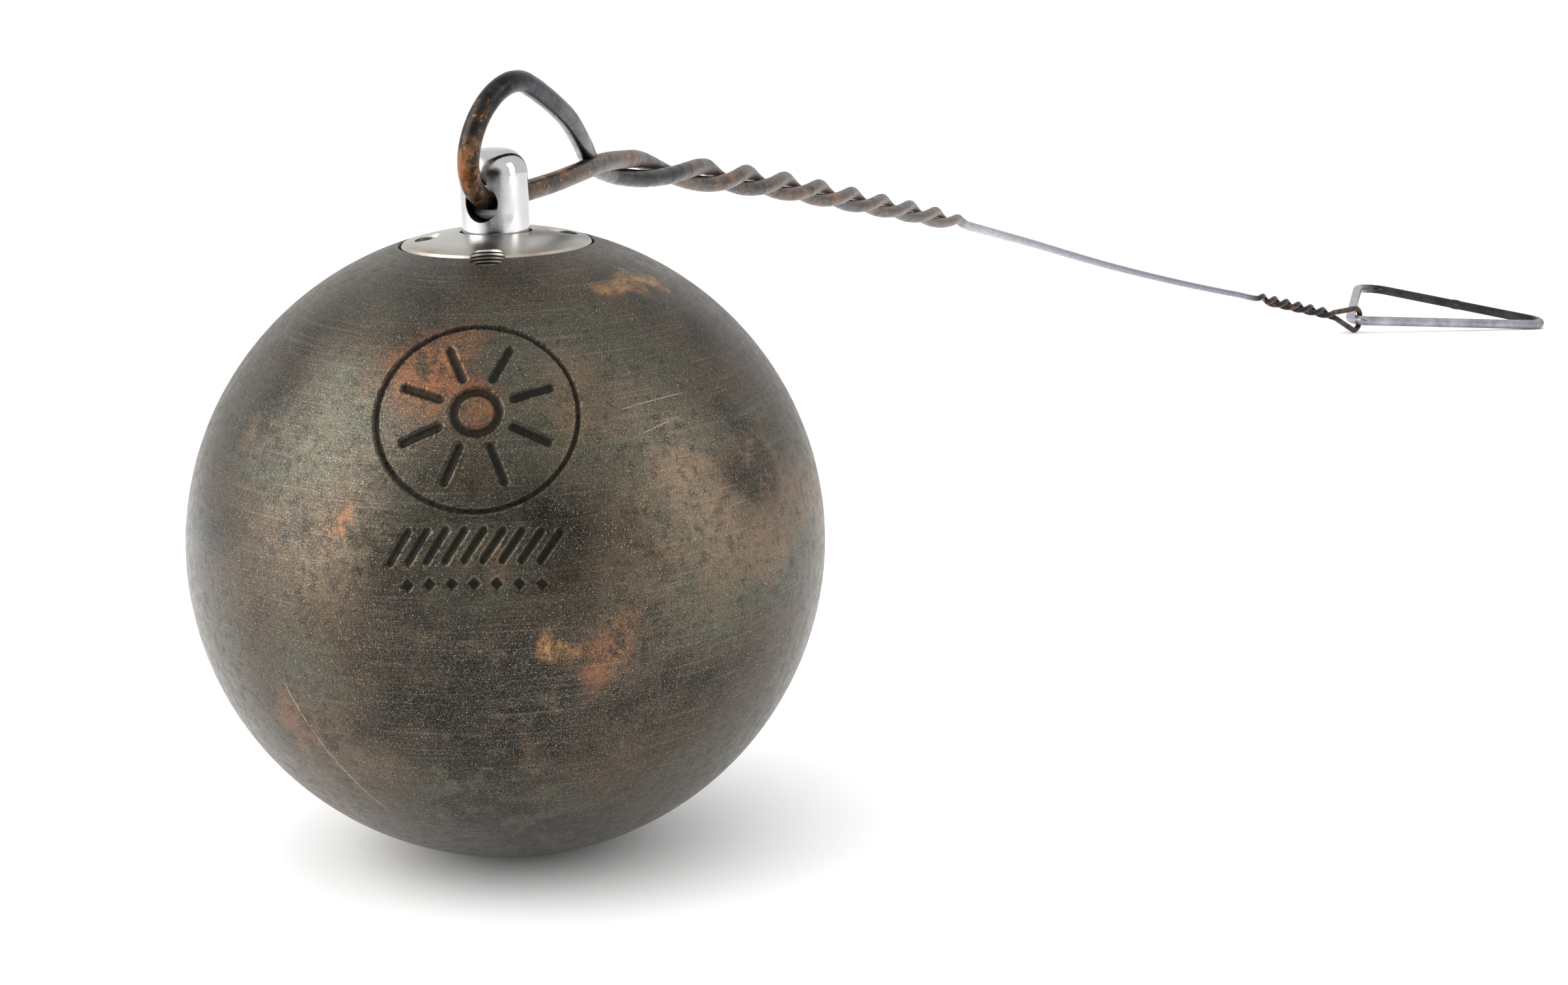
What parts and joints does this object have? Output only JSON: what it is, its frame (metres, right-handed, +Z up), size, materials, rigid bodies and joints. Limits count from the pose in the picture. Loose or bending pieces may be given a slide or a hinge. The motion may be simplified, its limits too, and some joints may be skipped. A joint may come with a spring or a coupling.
{
  "type": "throwing hammer",
  "caption": "Weighted steel throwing ball with a ball-bearing swivel, a twisted spring-steel wire and a triangular bent-rod grip.",
  "frame": {"origin": "where the ball touches the ground", "axes": "+Z up, +Y the way the wire runs from the ball to the grip"},
  "size_m": [0.5525, 1.0377, 0.1167],
  "materials": {
    "blackened_steel": "satin blackened steel with worn brown and rusty patches",
    "tungsten_fill": "dull pressed filling",
    "dark_steel": "dark oxide",
    "stainless_steel": "turned and lightly scratched",
    "bronze": "plain turned",
    "bearing_steel": "polished",
    "spring_steel": "bare wire, rusty brown at the loops and twists, bright between them",
    "grip_steel": "bright plated rod"
  },
  "bodies": {
    "head": {"head_shell": "blackened_steel", "core_filling": "tungsten_fill", "core_seal": "dark_steel", "swivel_housing": "stainless_steel", "housing_cap": "dark_steel", "lock_screw": "dark_steel", "neck_bush": "bronze", "upper_race": "bearing_steel"},
    "cage": {"bearing_cage": "bronze", "bearing_ball_1": "bearing_steel", "bearing_ball_2": "bearing_steel", "bearing_ball_3": "bearing_steel", "bearing_ball_4": "bearing_steel", "bearing_ball_5": "bearing_steel", "bearing_ball_6": "bearing_steel", "bearing_ball_7": "bearing_steel", "bearing_ball_8": "bearing_steel", "bearing_ball_9": "bearing_steel"},
    "stem": {"swivel_stem": "stainless_steel", "lower_race": "bearing_steel", "spindle_nut": "stainless_steel", "nut_pin": "dark_steel"},
    "wire": {"hammer_wire": "spring_steel"},
    "grip": {"grip_frame": "grip_steel"}
  },
  "joints": [
    {"name": "swivel_spin", "type": "hinge", "parent": "head", "child": "stem", "pos_m": [0, 0, 0.04735], "axis": [-0.0105, -0.1132, 0.9935], "continuous": true},
    {"name": "cage_spin", "type": "hinge", "parent": "head", "child": "cage", "pos_m": [0, 0, 0.04735], "axis": [-0.0105, -0.1132, 0.9935], "continuous": true},
    {"name": "wire_swing", "type": "hinge", "parent": "stem", "child": "wire", "pos_m": [0.00139, -0.00778, 0.10687], "axis": [0.8705, -0.3931, -0.2961], "range_deg": [-8, 188]},
    {"name": "grip_swing", "type": "hinge", "parent": "wire", "child": "grip", "pos_m": [0.38, 0.869, 0.0081], "axis": [0.7203, -0.6937, 0], "range_deg": [-150, 150]}
  ],
  "couplings": [
    {"joint": "cage_spin", "follows": "swivel_spin", "ratio": 0.5}
  ]
}
